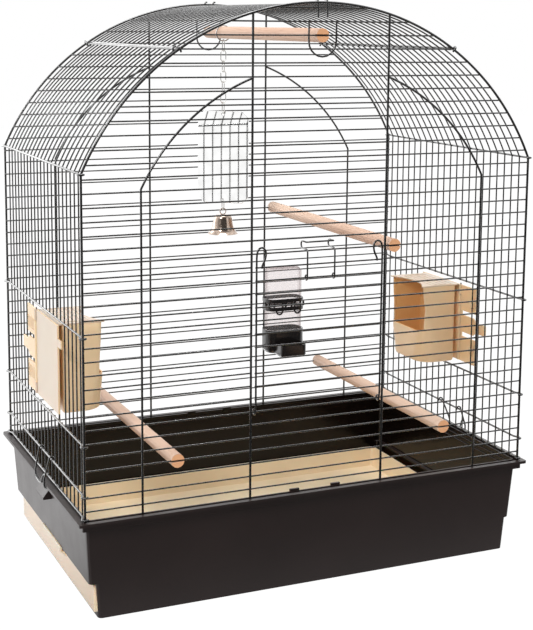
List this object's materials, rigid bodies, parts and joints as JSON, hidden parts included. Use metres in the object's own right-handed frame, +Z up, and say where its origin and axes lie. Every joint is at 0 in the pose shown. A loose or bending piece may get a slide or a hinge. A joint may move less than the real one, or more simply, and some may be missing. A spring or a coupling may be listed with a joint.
{
  "type": "bird cage",
  "caption": "Arched wire bird cage on a moulded base with slide-out tray, opening roof lid, drop-down front door, swing-out feeders, perches, drinker and hanging mirror toy with bell",
  "frame": {"origin": "middle of the footprint on the floor", "axes": "+X to the right along the front, +Y from the front panel to the back, +Z up"},
  "size_m": [0.7006, 0.445, 0.8222],
  "materials": {
    "wire": "glossy black enamel on steel wire",
    "base": "dark brown moulded plastic",
    "cream": "cream moulded plastic",
    "black": "black moulded plastic",
    "clear": "clear moulded plastic",
    "perch": "bare turned wood",
    "steel": "bright nickel-plated wire",
    "bell": "polished bronze-coloured metal",
    "mirror": "mirror plate"
  },
  "bodies": {
    "cage": {"base_tub": "base", "front_panel": "wire", "back_panel": "wire", "left_side": "wire", "right_side": "wire", "perch_top": "perch", "perch_middle": "perch", "perch_low_left": "perch", "perch_low_right": "perch", "drinker_tank": "clear", "drinker_collar": "black", "drinker_basin": "black", "feeder_left_flange": "cream", "feeder_left_pin": "steel", "feeder_right_flange": "cream", "feeder_right_pin": "steel"},
    "drawer": {"drawer": "cream"},
    "front_door": {"front_door": "wire"},
    "door_latch": {"door_latch": "wire"},
    "roof_lid": {"roof_lid": "wire"},
    "base_clip_left": {"base_clip_left": "wire"},
    "base_clip_right": {"base_clip_right": "wire"},
    "feeder_left": {"feeder_left_cup": "cream", "feeder_left_cover": "cream"},
    "feeder_right": {"feeder_right_cup": "cream", "feeder_right_cover": "cream"},
    "toy": {"toy_hook": "steel", "toy_link_1": "steel", "toy_link_2": "steel", "toy_link_3": "steel", "toy_link_4": "steel", "toy_link_5": "steel", "toy_link_6": "steel", "toy_link_7": "steel", "toy_mirror": "mirror", "toy_connector": "steel"},
    "bell": {"toy_bell": "bell"},
    "clapper": {"toy_clapper": "bell"}
  },
  "joints": [
    {"name": "drawer_slide", "type": "slide", "parent": "cage", "child": "drawer", "axis": [-1, 0, 0], "range_m": [0, 0.55]},
    {"name": "front_door_hinge", "type": "hinge", "parent": "cage", "child": "front_door", "pos_m": [0, -0.2099, 0.2643], "axis": [1, 0, 0], "range_deg": [0, 145]},
    {"name": "door_latch_pivot", "type": "hinge", "parent": "front_door", "child": "door_latch", "pos_m": [0, -0.2138, 0.4473], "axis": [1, 0, 0], "range_deg": [0, 25]},
    {"name": "roof_lid_hinge", "type": "hinge", "parent": "cage", "child": "roof_lid", "pos_m": [-0.20489, 0, 0.75792], "axis": [0, -1, 0], "range_deg": [0, 100]},
    {"name": "base_clip_left_pivot", "type": "hinge", "parent": "cage", "child": "base_clip_left", "pos_m": [-0.3368, 0, 0.1757], "axis": [0, 1, 0], "range_deg": [0, 90]},
    {"name": "base_clip_right_pivot", "type": "hinge", "parent": "cage", "child": "base_clip_right", "pos_m": [0.3368, 0, 0.1757], "axis": [0, -1, 0], "range_deg": [0, 90]},
    {"name": "feeder_left_hinge", "type": "hinge", "parent": "cage", "child": "feeder_left", "pos_m": [-0.34155, 0.01202, 0.26], "axis": [0, 0, -1], "range_deg": [0, 90]},
    {"name": "feeder_right_hinge", "type": "hinge", "parent": "cage", "child": "feeder_right", "pos_m": [0.34155, -0.03129, 0.255], "axis": [0, 0, -1], "range_deg": [0, 90]},
    {"name": "toy_swing", "type": "hinge", "parent": "cage", "child": "toy", "pos_m": [0, 0.147, 0.7767], "axis": [0, 1, 0], "range_deg": [-14, 14]},
    {"name": "bell_swing", "type": "hinge", "parent": "toy", "child": "bell", "pos_m": [0, 0.147, 0.4949], "axis": [0, 1, 0], "range_deg": [-12, 12]},
    {"name": "clapper_swing", "type": "hinge", "parent": "bell", "child": "clapper", "pos_m": [0, 0.147, 0.4842], "axis": [0, 1, 0], "range_deg": [-12, 12]}
  ]
}
